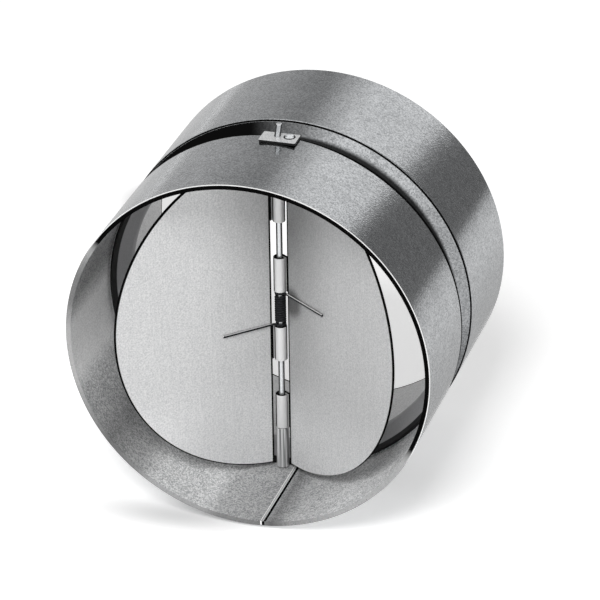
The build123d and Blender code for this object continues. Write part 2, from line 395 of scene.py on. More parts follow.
drill(casing, pin_r + pin_hole_gap, (0, pin_y, 0), 3 * casing_r)
drill(casing, rivet_hole_r, (rivet_x, pin_y, casing_r), 6 * sheet_t)
drill(front_ply, pin_r + pin_hole_gap, (0, pin_y, -casing_r), 6 * sheet_t)
casing = join(casing, front_ply, rear_ply)
settle(casing)

# %% [markdown]
# ## The rubber seal
# The black and grey ring inside is made as a strip of rubber on the crest and the front flank of the rolled rib,
# and the blades shut against its sloping face. Its thickness of 1.2 mm and the glue are guesses.
# Its outline is the wall's own, moved in by the wall and a film of glue, so the lathe draws three rings and
# Solidify gives the rubber its thickness towards the axis.
# Notches let the spacer tubes and the rivet's tail pass.

# %% Seal strip
seal_t = 1.2 * mm
glue_gap = 0.05 * mm
seal_setback = 0.7 * mm
seal_notch_gap = 0.45 * mm
seal_edge_r = 0.25 * mm
rivet_tail_r = 1.4 * mm
seal_in = sheet_t + glue_gap
flank = Vector((groove_depth, -groove_front_run)).normalized()
flank_in = Vector((flank.y, -flank.x)) * seal_in
tip = Vector((casing_r, groove_front_y)) + flank_in - flank * seal_setback
crest_front_y = groove_floor_front_y - seal_in * tan(front_bend / 2)
seal_line = [
    (groove_floor_r - seal_in, groove_floor_rear_y),
    (groove_floor_r - seal_in, crest_front_y),
    (tip.x, tip.y),
]
seal = lathe("rubber_seal", seal_line, ring_steps)
edit()
seal_bend_r = groove_floor_bend_r + seal_in
round_ring(*seal_line[1], seal_bend_r * tan(front_bend / 2), 6)
bpy.ops.mesh.select_all(action="SELECT")
bpy.ops.mesh.normals_make_consistent(inside=False)
leave()
apply_modifier(seal, "SOLIDIFY", thickness=seal_t, offset=-1, use_even_offset=True)
apply_modifier(seal, "BEVEL", width=seal_edge_r, segments=3, limit_method="ANGLE", angle_limit=radians(60))
seal.rotation_euler = (-pi / 2, 0, 0)
bpy.ops.object.transform_apply(rotation=True)
spacer_r = (upper_high.x - upper_low.x) / 2
drill(seal, spacer_r + seal_notch_gap, (0, pin_y, 0), 3 * casing_r)
drill(seal, rivet_tail_r + seal_notch_gap, (rivet_x, pin_y, casing_r), casing_r / 2)
settle(seal)
seal_low, seal_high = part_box("seal_ring")
print("seal", [round(v / mm, 2) for v in seal.dimensions])
print("measured", [round(v / mm, 2) for v in seal_high - seal_low])

# %% [markdown]
# ## The hinge pin, its spacers and the plate that holds it
# The pin is plain wire. Its upper end stands out of the plate and leans a little to the right in the photograph.
# Its lower end is hidden, so the low head under the casing is a guess.
# The lathe draws it in one go, the head and the tip are rounded, and the stub is pushed over.

# %% Pin
pin_head_r = (pin_high.x - pin_low.x) / 2
pin_seat_z = -casing_r - 0.05 * mm
pin_tip_break = 0.3 * mm
stub_lean = 0.55 * mm
plate_low, plate_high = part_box("pin_retainer_plate")
pin_line = [
    (pin_head_r / 2, pin_low.z),
    (pin_head_r, pin_low.z),
    (pin_head_r, pin_seat_z),
    (pin_r, pin_seat_z),
    (pin_r, plate_high.z),
    (pin_r, pin_high.z),
    (pin_r / 2, pin_high.z),
]
pin = lathe("steel_pin", pin_line, 40)
edit()
round_ring(*pin_line[1], pin_seat_z - pin_low.z - 0.3 * mm, 4)
round_ring(*pin_line[5], pin_tip_break, 3)
cap(pin_low.z)
cap(pin_high.z)
pick("VERT", lambda vertex: vertex.co.z > plate_high.z + 0.5 * mm)
bpy.ops.transform.translate(value=(stub_lean, 0, 0))
leave()
pin.location = (0, pin_y, 0)
settle(pin)

# %% [markdown]
# ### The spacer tubes
# A short tube at each end of the pin keeps the blades' knuckles off the wall. Both are cut from one tube, so one
# function makes them: a closed outline goes on the lathe, and a small bevel breaks the sharp edge of each cut.

# %% Spacer tubes
tube_edge_r = 0.08 * mm


def spacer(name, node):
    """Tube on the pin between a blade's last knuckle and the casing wall."""
    low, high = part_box(node)
    line = [(knuckle_bore_r, low.z), (spacer_r, low.z), (spacer_r, high.z), (knuckle_bore_r, high.z),
            (knuckle_bore_r, low.z)]
    tube = lathe(name, line, 48, closed=True)
    apply_modifier(tube, "BEVEL", width=tube_edge_r, segments=2, limit_method="ANGLE", angle_limit=radians(60))
    tube.location = (0, pin_y, 0)
    settle(tube)
    return tube


upper_spacer = spacer("upper_spacer", "upper_spacer_tube")
lower_spacer = spacer("lower_spacer", "lower_spacer_tube")

# %% [markdown]
# ### The retainer plate
# The plate is a bit of strip. A cube is given its size, its four upright edges are rounded, and two holes are
# drilled through it, one for the pin and one for the rivet.

# %% Retainer plate
plate_corner_r = 0.5 * mm
plate_edge_r = 0.1 * mm
plate_size = plate_high - plate_low
bpy.ops.object.select_all(action="DESELECT")
bpy.ops.mesh.primitive_cube_add(size=1, location=(plate_low + plate_high) / 2, scale=plate_size)
plate = bpy.context.object
plate.name = "retainer_plate"
bpy.ops.object.transform_apply(location=True, scale=True)
edit()
pick("EDGE", lambda edge: abs(edge.verts[0].co.z - edge.verts[1].co.z) > plate_size.z / 2)
bpy.ops.mesh.bevel(offset=plate_corner_r, segments=5, affect="EDGES")
leave()
drill(plate, pin_r + pin_hole_gap, (0, pin_y, plate_high.z), 4 * plate_size.z)
drill(plate, rivet_hole_r, (rivet_x, pin_y, plate_high.z), 4 * plate_size.z)
apply_modifier(plate, "BEVEL", width=plate_edge_r, segments=2, limit_method="ANGLE", angle_limit=radians(60))
settle(plate)

# %% [markdown]
# ## The rivet
# The low dome beside the pin is taken for a rivet that ties the plate to the casing. It is a slice of a sphere,
# so the lathe follows the sphere's arc from the rim to the crown. Its shank and tail are hidden and guessed.

# %% Rivet
rivet_head_r = (rivet_high.x - rivet_low.x) / 2
rivet_shank_r = 1.0 * mm
rivet_tail_h = 0.5 * mm
dome_h = rivet_high.z - plate_high.z
dome_r = (rivet_head_r**2 + dome_h**2) / (2 * dome_h)
dome_z = rivet_high.z - dome_r
dome_turn = asin(rivet_head_r / dome_r)
dome_steps = 8
rivet_line = [
    (rivet_shank_r, rivet_low.z),
    (rivet_tail_r, rivet_low.z),
    (rivet_tail_r, rivet_low.z + rivet_tail_h),
    (rivet_shank_r, rivet_low.z + rivet_tail_h),
    (rivet_shank_r, plate_high.z),
]
for step in range(dome_steps):
    turn = dome_turn * (1 - step / dome_steps)
    rivet_line.append((dome_r * sin(turn), dome_z + dome_r * cos(turn)))
rivet = lathe("plate_rivet", rivet_line, 40)
edit()
cap(rivet_line[0][1])
cap(rivet_line[-1][1])
leave()
rivet.location = (rivet_x, pin_y, 0)
settle(rivet)

# %% [markdown]
# ## The blades
# Each blade is a half disc of 1 mm aluminium whose straight edge is cut into tabs, and each tab is rolled
# round the pin into a knuckle.
# The blade is modelled shut, with the pin's axis at the origin: a thin disc is bisected, the tabs are
# extruded from its straight edge to the point above the pin, and Spin rolls them round the axis.
# The roll stops short of the sheet, which leaves the slit that such a knuckle has. Spin turns clockwise
# round its axis, so the axis points down for a roll that goes over the left and under the pin.

# %% Blade
blade_edge_gap = 0.5 * mm
knuckle_roll = radians(290)
knuckle_steps = 29
blade_edge_break = 0.12 * mm
stack_gap = 0.15 * mm
blade_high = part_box("left_blade")[1]
blade_r = blade_high.z
blade_edge_x = knuckle_r + blade_edge_gap
stack_end = upper_low.z - stack_gap
coil_bay_end = 6.4 * mm
knuckle_pitch = (stack_end - coil_bay_end) / 3
knuckle_ends = [coil_bay_end + knuckle_pitch * step for step in range(4)]


def is_straight_edge(face):
    return face.normal.x < -0.9 and abs(middle(face).x - blade_edge_x) < 0.1 * mm


def blade(name, spans):
    """A right-hand blade as it lies when it is shut, with knuckles over the given spans of height."""
    bpy.ops.object.select_all(action="DESELECT")
    bpy.ops.mesh.primitive_cylinder_add(vertices=256, radius=blade_r, depth=blade_t, rotation=(pi / 2, 0, 0),
                                        location=(0, knuckle_r - blade_t / 2, 0))
    piece = bpy.context.object
    piece.name = name
    bpy.ops.object.transform_apply(location=True, rotation=True)
    edit()
    bpy.ops.mesh.select_all(action="SELECT")
    bpy.ops.mesh.bisect(plane_co=(blade_edge_x, 0, 0), plane_no=(1, 0, 0), use_fill=True, clear_inner=True)
    bpy.ops.mesh.select_all(action="SELECT")
    bpy.ops.mesh.normals_make_consistent(inside=False)
    trimmed = [(low + stack_gap, high - stack_gap) for low, high in spans]
    for height in (end for span in trimmed for end in span):
        pick("FACE", is_straight_edge)
        bpy.ops.mesh.bisect(plane_co=(0, 0, height), plane_no=(0, 0, 1))
    tabs = pick("FACE", lambda face: is_straight_edge(face)
                and any(low < middle(face).z < high for low, high in trimmed))
    bpy.ops.mesh.extrude_region_move(TRANSFORM_OT_translate={"value": (-blade_edge_x, 0, 0)})
    bpy.ops.mesh.spin(steps=knuckle_steps, angle=knuckle_roll, center=(0, 0, 0), axis=(0, 0, -1))
    bpy.ops.mesh.select_all(action="SELECT")
    bpy.ops.mesh.remove_doubles(threshold=0.001 * mm)
    leave()
    apply_modifier(piece, "BEVEL", width=blade_edge_break, segments=2, limit_method="ANGLE", angle_limit=radians(60))
    print(name, "has", tabs, "tabs; shut it spans", [round(v / mm, 2) for v in piece.dimensions])
    return piece


def swing(piece, side, angle):
    """Hangs a shut right-hand piece on the pin: side 1 keeps it right, side -1 mirrors it to the left."""
    piece.scale = (side, 1, 1)
    piece.rotation_euler = (0, 0, -side * angle)
    piece.location = (0, pin_y, 0)
    settle(piece)


left_blade = blade("left_blade_sheet", [knuckle_ends[2:4], [-knuckle_ends[1], -knuckle_ends[0]]])
right_blade = blade("right_blade_sheet", [knuckle_ends[0:2], [-knuckle_ends[3], -knuckle_ends[2]]])
swing(left_blade, -1, left_open)
swing(right_blade, 1, right_open)

# %% [markdown]
# ## The torsion spring
# One length of 0.8 mm wire makes the whole spring: a close coil round the pin, and at each end one more
# turn that runs out into a straight leg on the front of a blade.
# The coil is a round section wound by the Screw modifier. A bevelled curve would do as well, but its ends and its
# number of faces are harder to hold.

# %% Coil
wire_r = 0.4 * mm
coil_r = (coil_high.x - coil_low.x) / 2 - wire_r
coil_turns = 11.5
coil_rise = coil_high.z - coil_low.z - 2 * wire_r
turn_steps = 36
section_steps = 14


def wire_section(name, place):
    """A ring of the wire's section that faces along Y, ready to be drawn out."""
    bpy.ops.object.select_all(action="DESELECT")
    bpy.ops.mesh.primitive_circle_add(vertices=section_steps, radius=wire_r, location=place, rotation=(pi / 2, 0, 0))
    piece = bpy.context.object
    piece.name = name
    bpy.ops.object.transform_apply(location=True, rotation=True)
    return piece


coil = wire_section("spring_wire_coil", (coil_r, 0, -coil_rise / 2))
apply_modifier(coil, "SCREW", angle=2 * pi * coil_turns, screw_offset=coil_rise, iterations=1,
               steps=int(turn_steps * coil_turns), render_steps=int(turn_steps * coil_turns), axis="Z")


def close_ends():
    """Fills each open end of the wire in edit mode with a flat face."""
    bpy.ops.mesh.select_mode(type="EDGE")
    bpy.ops.mesh.select_all(action="DESELECT")
    bpy.ops.mesh.select_non_manifold()
    bpy.ops.mesh.edge_face_add()


edit()
close_ends()
leave()
coil.location = (0, pin_y, 0)
settle(coil)

# %% [markdown]
# ### The spring's legs
# Each leg is bent as on a wire jig: the section is spun round the pin for the end turn, spun back round a small
# peg, drawn out straight, and for the left leg hooked up at its tip.
# Both are made for a shut right-hand blade, and then swung to where the photograph has them.

# %% Legs
leg_low, leg_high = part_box("spring_right_leg")
end_turn_z = (leg_low.z + leg_high.z) / 2
end_turn = radians(300)
leg_bend_r = 1.0 * mm
leg_face_gap = 0.06 * mm
left_leg_reach = 20.6 * mm
right_leg_reach = 22.2 * mm
left_leg_slope = radians(2.3)
hook_r = 0.7 * mm
hook_turn = radians(55)
leg_y = knuckle_bore_r - wire_r - leg_face_gap
peg_y = leg_y - leg_bend_r
peg_x = sqrt((coil_r + leg_bend_r) ** 2 - peg_y**2)
leave_turn = atan2(peg_y, peg_x)


def leg(name, reach, hooked):
    """An end turn of the spring and its leg, for a shut right-hand blade whose pin stands at the origin."""
    wire = wire_section(name, (coil_r, 0, 0))
    wire.rotation_euler = (0, 0, leave_turn - end_turn)
    bpy.ops.object.transform_apply(rotation=True)
    edit()
    bpy.ops.mesh.select_all(action="SELECT")
    bpy.ops.mesh.spin(steps=60, angle=end_turn, center=(0, 0, 0), axis=(0, 0, -1))
    bpy.ops.mesh.spin(steps=12, angle=pi / 2 + leave_turn, center=(peg_x, peg_y, 0), axis=(0, 0, 1))
    straight_end = reach - hook_r * sin(hook_turn) if hooked else reach
    bpy.ops.mesh.extrude_edges_move(TRANSFORM_OT_translate={"value": (straight_end - peg_x, 0, 0)})
    if hooked:
        bpy.ops.mesh.spin(steps=8, angle=hook_turn, center=(straight_end, leg_y, hook_r), axis=(0, 1, 0))
    close_ends()
    leave()
    print(name, "reaches", [round(v / mm, 2) for v in wire.dimensions], "mm")
    return wire


left_leg = leg("spring_wire_left_leg", left_leg_reach, True)
left_leg.rotation_euler = (0, left_leg_slope, 0)
left_leg.location = (0, 0, -end_turn_z)
bpy.ops.object.transform_apply(location=True, rotation=True)
right_leg = leg("spring_wire_right_leg", right_leg_reach, False)
right_leg.location = (0, 0, end_turn_z)
bpy.ops.object.transform_apply(location=True)
swing(left_leg, -1, left_open)
swing(right_leg, 1, right_open)

# %% [markdown]
# ## Hanging every piece on its body
# A new piece moves with the body of the measured piece that it stands for.

# %% Bodies
stands_for = {
    "casing": casing,
    "seal_ring": seal,
    "hinge_pin": pin,
    "pin_retainer_plate": plate,
    "retainer_rivet": rivet,
    "upper_spacer_tube": upper_spacer,
    "lower_spacer_tube": lower_spacer,
    "left_blade": left_blade,
    "right_blade": right_blade,
    "spring_coil": coil,
    "spring_left_leg": left_leg,
    "spring_right_leg": right_leg,
}
body_of_node = {node: body for body, nodes in frame["record"]["behaviour"]["bodies"].items() for node in nodes}
slot_of_node = {part["node"]: part["material_slot"] for part in frame["record"]["subparts"]}
for node, piece in stands_for.items():
    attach(piece, body_of_node[node])
    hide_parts(node)
    low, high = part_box(node)
    made_low = [min(vertex.co[axis] for vertex in piece.data.vertices) for axis in range(3)]
    made_high = [max(vertex.co[axis] for vertex in piece.data.vertices) for axis in range(3)]
    apart = max(abs(a - b) for a, b in zip([*made_low, *made_high], [*low, *high]))
    print(piece.name, "rides on", body_of_node[node], "and its box differs by", round(apart / mm, 2), "mm")

# %% [markdown]
# ## Finishes
# Every finish starts from a Principled shader and reads Object coordinates, which here are metres in the
# part's own frame, so a pattern's scale is one over its real size.
# The lines and spots of the photograph lie at fixed places on the metal. So each is a mask, which is 1 on the
# spot and 0 elsewhere, worked out from the place, the distance from an axis or the way the surface faces.
# Masks are joined, and each lays its own tone over the metal's, like coats of paint.
# Many of the photograph's soft shades and black outlines come from its lights and its sharpening, and not from
# the metal. They are painted here as painted shade, light and highlights, and the matt inside as a bloom, so that
# the picture matches. None of that was seen on the real damper as such, and a painted shade stays where it is in
# every view.

# %% Colours and nodes
def linear(hex_value):
    """The linear colour of an sRGB hex value."""
    shares = [int(hex_value[at:at + 2], 16) / 255 for at in (1, 3, 5)]
    return (*[share / 12.92 if share <= 0.04045 else ((share + 0.055) / 1.055) ** 2.4 for share in shares], 1)


def socket(source):
    """The output that a node, or a pair of a node and an output's name, stands for. A plain value gives None."""
    if isinstance(source, bpy.types.Node):
        return next(output for output in source.outputs if output.enabled)
    if isinstance(source, tuple) and isinstance(source[0], bpy.types.Node):
        return source[0].outputs[source[1]]
    return None


def add(tree, kind, inputs, **settings):
    """Adds a shader node. An input is a value, a node, or a pair of a node and the name of its output."""
    made = tree.nodes.new("ShaderNode" + kind)
    for key, value in settings.items():
        setattr(made, key, value)
    for key, value in inputs.items():
        if socket(value):
            tree.links.new(socket(value), made.inputs[key])
        else:
            made.inputs[key].default_value = value
    return made


# %% [markdown]
# ### How a finish starts and ends
# Each finish starts as a Principled shader with the values that are the same all over it, such as the metallic
# share of a bare metal. It ends with its patterns linked to the shader and a fine relief of the grain.

# %% Start and end of a finish
def new_finish(name, constants):
    """A material with its shader's constants set. It also returns the tree, the shader and the Object coordinates,
    which are a pair of a node and an output's name. The same node gives the normal."""
    material = bpy.data.materials.new(name)
    material.use_nodes = True
    tree = material.node_tree
    tree.nodes.clear()
    shader = add(tree, "BsdfPrincipled", constants)
    add(tree, "OutputMaterial", {"Surface": shader})
    return material, tree, shader, (add(tree, "TexCoord", {}), "Object")


def wear(material, shader, links, height, depth):
    """Links a finish's patterns to its shader, with a fine relief of the given height pattern and depth."""
    tree = material.node_tree
    relief = add(tree, "Bump", {"Height": height, "Distance": depth, "Strength": 1.0})
    for name, source in {**links, "Normal": relief}.items():
        tree.links.new(socket(source), shader.inputs[name])
    print(material.name, "is made of", len(tree.nodes), "nodes")


# %% [markdown]
# ### Hot-dip galvanised sheet
# The strip went through a bath of zinc, which froze in flat crystals a few millimetres wide, and was then
# rolled smooth. To the eye it is a dull grey mirror with a fine grain, in which one crystal is a little brighter
# or rougher than the next. A picture of zinc could be wrapped round the casing, but a pattern that is worked
# out from the place needs no unwrapping and has no seam.
# The grain of the real sheet is finer than a pixel, so it is drawn 0.42 mm wide, as coarse as it needs to show.

# %% Zinc
zinc_grain = 0.42 * mm
zinc_spangle = 4.0 * mm
zinc_cloud = 20.0 * mm


def paint(tree, ground, *coats):
    """Lays coats over a ground. A coat is a mask and the tone, as a hex value or a node, where the mask is 1."""
    for mask, coat in coats:
        ground, coat = [linear(tone) if isinstance(tone, str) else tone for tone in (ground, coat)]
        ground = add(tree, "Mix", {0: mask, 6: ground, 7: coat}, data_type="RGBA")
    return ground


def zinc(tree, place, dark, pale):
    """Zinc's tone between two hex values, with its share from 0 to 1 and its grain."""
    spangle = add(tree, "TexVoronoi", {"Vector": place, "Scale": 1 / zinc_spangle})
    crystal = add(tree, "SeparateColor", {"Color": (spangle, "Color")})
    cell = add(tree, "VectorMath", {0: place, 1: (zinc_grain, zinc_grain, zinc_grain)}, operation="SNAP")
    grain = add(tree, "TexWhiteNoise", {"Vector": cell})
    cloud = add(tree, "TexNoise", {"Vector": place, "Scale": 1 / zinc_cloud, "Detail": 2.0})
    grain_share = add(tree, "MapRange", {"Value": grain, "To Max": 0.7})
    crystal_share = add(tree, "Math", {0: (crystal, "Red"), 1: 0.1, 2: grain_share}, operation="MULTIPLY_ADD")
    share = add(tree, "Math", {0: cloud, 1: 0.2, 2: crystal_share}, operation="MULTIPLY_ADD", use_clamp=True)
    return paint(tree, dark, (share, pale)), share, grain


print("zinc crystals", zinc_spangle / mm, "mm wide and grain", zinc_grain / mm, "mm wide")

# %% [markdown]
# ### The two sides of the sheet
# Outside, the zinc mirrors the room. Inside, the photograph shows it matt, so it is painted with the grey bloom
# that damp air leaves, which is barely a metal to the eye. The bloom is a guess. Behind the blades and at the left
# the inner wall is painted paler still, as painted light.
# Two materials would need a border to be cut round the rim. One material that asks whether the surface faces
# the duct's axis or turns its back to it has none.

# %% Outside, inside and painted-light zinc
def about(tree, place, across):
    """A point's axes, its part across an axis, and its distance from that axis."""
    axes = add(tree, "SeparateXYZ", {"Vector": place})
    flat = add(tree, "CombineXYZ", {axis: (axes, axis) for axis in across})
    return axes, flat, add(tree, "VectorMath", {0: flat}, operation="LENGTH")


galvanised_sheet, tree, shader, place = new_finish("hot_dip_galvanised_sheet", {"Specular IOR Level": 0.0})
outer_zinc, share, _ = zinc(tree, place, "#888a8c", "#d8dadc")
inner_zinc = paint(tree, "#8c8e90", (share, "#fafafa"))
# A paler zinc, laid on the inner wall as painted light.
painted_light_zinc = paint(tree, "#dadada", (share, "#ffffff"))
axes, flat, from_axis = about(tree, place, "XZ")
outward = add(tree, "VectorMath", {0: (place[0], "Normal"), 1: flat}, operation="DOT_PRODUCT")
inside = add(tree, "MapRange", {"Value": outward, "From Min": 10 * mm, "From Max": -10 * mm})
outside = add(tree, "Math", {0: inside, 1: 0.5}, operation="LESS_THAN")
metal_share = add(tree, "MapRange", {"Value": inside, "To Min": 1.0, "To Max": 0.15})
print("the zinc's tones take", len(tree.nodes), "nodes")

# %% [markdown]
# ### Painted shade in the groove
# The groove's two bends and its floor show as black lines, the shade in the creases of the rolled groove, which
# the lamp here doesn't give. So thin rings are painted as rolling oil, and the oil is a guess. So thin black
# rings are painted there as painted shade. They have no thickness, so nothing is modelled: each ring is a band of
# Y or of the distance from the axis.

# %% Painted shade rings
def join_masks(tree, operation, *masks):
    """Joins masks: MULTIPLY keeps the place that all of them share, and MAXIMUM the place that any covers."""
    joined = masks[0]
    for mask in masks[1:]:
        joined = add(tree, "Math", {0: joined, 1: mask}, operation=operation)
    return joined


skin_r = inner_r + 0.2 * mm
groove_middle_y = (groove_front_y - inlet_spigot_l) / 2
groove_half_w = (-inlet_spigot_l - groove_front_y) / 2
ridge_y = -inlet_spigot_l - 0.05 * mm
front_y = groove_front_y + 0.1 * mm
in_groove = add(tree, "MapRange", {"Value": from_axis, "From Min": groove_floor_r + 1.9 * mm,
                                   "From Max": groove_floor_r + 0.3 * mm, "To Max": 0.96},
                interpolation_type="SMOOTHSTEP")
on_sheet = add(tree, "Math", {0: from_axis, 1: groove_floor_r - 0.3 * mm}, operation="GREATER_THAN")
between = add(tree, "Math", {0: (axes, "Y"), 1: groove_middle_y, 2: groove_half_w - 0.4 * mm}, operation="COMPARE")
# Painted shade on the groove's floor.
floor_shade = join_masks(tree, "MULTIPLY", in_groove, between, on_sheet)
behind_ridge = add(tree, "Math", {0: (axes, "Y"), 1: ridge_y, 2: 0.32 * mm}, operation="COMPARE")
front_reach = add(tree, "MapRange", {"Value": (axes, "X"), "From Min": 5 * mm, "From Max": 35 * mm,
                                     "To Min": 0.85 * mm, "To Max": 1.5 * mm})
before_ridge = add(tree, "Math", {0: (axes, "Y"), 1: front_y, 2: front_reach}, operation="COMPARE")
ridges = join_masks(tree, "MAXIMUM", behind_ridge, before_ridge)
on_skin = add(tree, "Math", {0: from_axis, 1: skin_r}, operation="GREATER_THAN")
# Painted shade along the groove's two bends.
ridge_shade = join_masks(tree, "MULTIPLY", ridges, on_skin)
print("oil rings at y", round(ridge_y / mm, 2), round(front_y / mm, 2), "mm")

# %% [markdown]
# ### Painted shade that follows the turn of the duct
# The photograph has soft dark shades on the inner wall, and its groove is black at the upper left. They are most
# likely mirror images of a studio that isn't known. Painted shade and reflection on the wall and a black painted
# reflection in the groove stand in for them, and being painted they show from all sides: from the left and from
# behind, the groove is a black band.
# Their strength is given at a few angles round the duct: -180 degrees is the top, -90 the left, 0 the lowest
# line, 90 the right and 180 the top again.

# %% Painted shade and pool
def blend(tree, share, stops):
    """A tone that follows stops of place and strength, or of place and hex value, as its share goes from 0 to 1."""
    first, last = stops[0][0], stops[-1][0]
    ramp = add(tree, "ValToRGB", {"Fac": share})
    for at, _ in stops[1:-1]:
        ramp.color_ramp.elements.new((at - first) / (last - first))
    for element, (_, tone) in zip(ramp.color_ramp.elements, stops):
        element.color = linear(tone) if isinstance(tone, str) else (tone, tone, tone, 1)
    return ramp


below = add(tree, "Math", {0: (axes, "Z"), 1: -1.0}, operation="MULTIPLY")
angle = add(tree, "Math", {0: (axes, "X"), 1: below}, operation="ARCTAN2")
turn_share = add(tree, "Math", {0: angle, 1: 0.5 / pi, 2: 0.5}, operation="MULTIPLY_ADD")
# Painted shade and reflection on the inner wall, by angle round the duct.
painted_shade = blend(tree, turn_share, [
    (-180, 0.0), (-125, 0.0), (-112, 0.5), (-102, 0.5), (-92, 0.0), (-74, 0.0), (-52, 0.64), (-40, 0.42), (-33, 0.0),
    (-15, 0.0), (-11, 0.3), (5, 0.48), (7, 0.68), (13, 0.33), (20, 0.2), (30, 0.0), (180, 0.0)])
# Black painted reflection in the groove, strongest at the upper left.
pool = blend(tree, turn_share, [
    (-180, 0.72), (-168, 1.0), (-70, 1.0), (-25, 0.1), (60, 0.3), (105, 0.45), (123, 0.3), (137, 0.0), (163, 0.0),
    (169, 0.3), (176, 0.65), (180, 0.72)])
# The left part of the inner wall that gets the paler painted light, by angle round the duct.
painted_light_side = blend(tree, turn_share, [(-180, 0.0), (-100, 0.0), (-92, 1.0), (-76, 1.0), (-70, 0.0), (180, 0.0)])
pool_shade = join_masks(tree, "MULTIPLY", pool, between, outside)
behind_groove = add(tree, "Math", {0: (axes, "Y"), 1: -46 * mm}, operation="GREATER_THAN")
before_groove = add(tree, "Math", {0: (axes, "Y"), 1: groove_front_y}, operation="LESS_THAN")
painted_light_place = join_masks(tree, "MAXIMUM", behind_groove, painted_light_side)
painted_light_wall = join_masks(tree, "MULTIPLY", painted_light_place, inside)
print("with the films", len(tree.nodes), "nodes")

# %% [markdown]
# ### The lap and the cuts
# At the lap, a painted highlight runs along the upper ply's corner and a painted shadow beside it, in the slit
# under the lifted edge. Round the mouth's upper side the cut gets a painted highlight on its outer half and a
# painted shade on its inner half. The rear cut gets a dark inner edge only.

# %% Lap and sheared cuts
corner_x = lap_right_w - 0.35 * mm
slit_x = lap_right_w + 0.35 * mm
# The way to the mouth's upper side, where the cut gets its painted highlight and painted shade.
rim_light_way = (0.5, 0.0, 0.866)
below_skin = add(tree, "Math", {0: from_axis, 1: casing_r - 0.3 * mm}, operation="LESS_THAN")
low_wall = add(tree, "Math", {0: (axes, "Z"), 1: -50 * mm}, operation="LESS_THAN")
lap_corner = add(tree, "Math", {0: (axes, "X"), 1: corner_x, 2: 0.26 * mm}, operation="COMPARE")
lap_slit = add(tree, "Math", {0: (axes, "X"), 1: slit_x, 2: 0.45 * mm}, operation="COMPARE")
# Painted highlight along the lap ply's corner.
painted_corner_highlight = join_masks(tree, "MULTIPLY", lap_corner, low_wall, below_skin)
# Painted shadow in the slit under the ply's lifted edge.
painted_slit_shadow = join_masks(tree, "MULTIPLY", lap_slit, low_wall, below_skin)

at_mouth = add(tree, "MapRange", {"Value": (axes, "Y"), "From Min": -casing_l + 0.25 * mm,
                                  "From Max": -casing_l + 0.12 * mm})
inner_cut = add(tree, "MapRange", {"Value": from_axis, "From Min": casing_r - 0.26 * mm,
                                   "From Max": casing_r - 0.34 * mm})
rim_light_side = add(tree, "VectorMath", {0: flat, 1: rim_light_way}, operation="DOT_PRODUCT")
rim_light_share = add(tree, "MapRange", {"Value": rim_light_side, "From Min": -1 * mm, "From Max": 6 * mm})
dull_cut = join_masks(tree, "MULTIPLY", at_mouth, 0.8)
# Painted highlight on the upper side of the mouth's cut.
painted_rim_highlight = join_masks(tree, "MULTIPLY", at_mouth, rim_light_share)
# Painted shade on the inner half of that cut.
painted_rim_shade = join_masks(tree, "MULTIPLY", painted_rim_highlight, inner_cut)
wall_or_cut = join_masks(tree, "MAXIMUM", inside, at_mouth)
# The inner wall's painted shade, in front of the groove.
painted_shade_share = join_masks(tree, "MULTIPLY", painted_shade, wall_or_cut, before_groove)
at_back = add(tree, "Math", {0: (axes, "Y"), 1: -0.7 * mm}, operation="GREATER_THAN")
rear_cut = join_masks(tree, "MULTIPLY", at_back, inside)
print("the slit of the lap lies at x", round(slit_x / mm, 2), "mm")

# %% [markdown]
# ### The sheet put together
# The coats go on from the widest to the narrowest. The black painted shade and the dark lines are not metal to the
# eye, so the shader's metallic share drops to nothing where they are thick, and no mirror image shows through them.

# %% Galvanised sheet
thick_black = 0.85
# The groove's black painted shade and reflection, and the rear cut's dark inner edge.
blackened = join_masks(tree, "MAXIMUM", ridge_shade, floor_shade, pool_shade, rear_cut)
tone = paint(tree, outer_zinc, (inside, inner_zinc), (painted_light_wall, painted_light_zinc), (dull_cut, "#9c9c9c"),
             (painted_shade_share, "#202020"), (blackened, "#0e0e0e"), (painted_corner_highlight, "#ffffff"), (painted_slit_shadow, "#080808"),
             (painted_rim_highlight, "#ececec"), (painted_rim_shade, "#0a0a0a"))
matt_black = join_masks(tree, "MAXIMUM", blackened, painted_slit_shadow, painted_rim_shade)
bare = add(tree, "Math", {0: matt_black, 1: thick_black}, operation="LESS_THAN")
metal = join_masks(tree, "MULTIPLY", bare, metal_share)
outer_rough = add(tree, "MapRange", {"Value": share, "To Min": 0.18, "To Max": 0.12})
sheet_rough = add(tree, "Math", {0: inside, 1: 0.3, 2: outer_rough}, operation="MULTIPLY_ADD")
facets = add(tree, "TexNoise", {"Vector": place, "Scale": 1 / (0.5 * mm), "Detail": 0.0})
wear(galvanised_sheet, shader, {"Base Color": tone, "Metallic": metal, "Roughness": sheet_rough}, facets, 0.02 * mm)

# %% [markdown]
# ### Galvanised strip
# The plate is cut from a paler strip of the same zinc. The photograph outlines it in black, so its cut sides and
# its bores are painted dark and only its flat top is clean.

# %% Galvanised strip of the plate
galvanised_strip, tree, shader, place = new_finish("galvanised_strip", {"Metallic": 0.5})
tone, share, grain = zinc(tree, place, "#c8cacc", "#ffffff")
axes = add(tree, "SeparateXYZ", {"Vector": place})
below_top = add(tree, "MapRange", {"Value": (axes, "Z"), "From Min": plate_high.z - 0.05 * mm,
                                   "From Max": plate_high.z - 0.15 * mm})
strip_tone = paint(tree, tone, (below_top, "#1a1a1a"))
strip_rough = add(tree, "MapRange", {"Value": share, "To Min": 0.4, "To Max": 0.25})
wear(galvanised_strip, shader, {"Base Color": strip_tone, "Roughness": strip_rough}, grain, 0.003 * mm)

# %% [markdown]
# ### Rubber
# The ring is grey with a black line in front of it. So the strip is made as extruded rubber whose sloping face is
# painted grey, and whose front lip, which lies in the bend of the sheet, is painted black as shade.

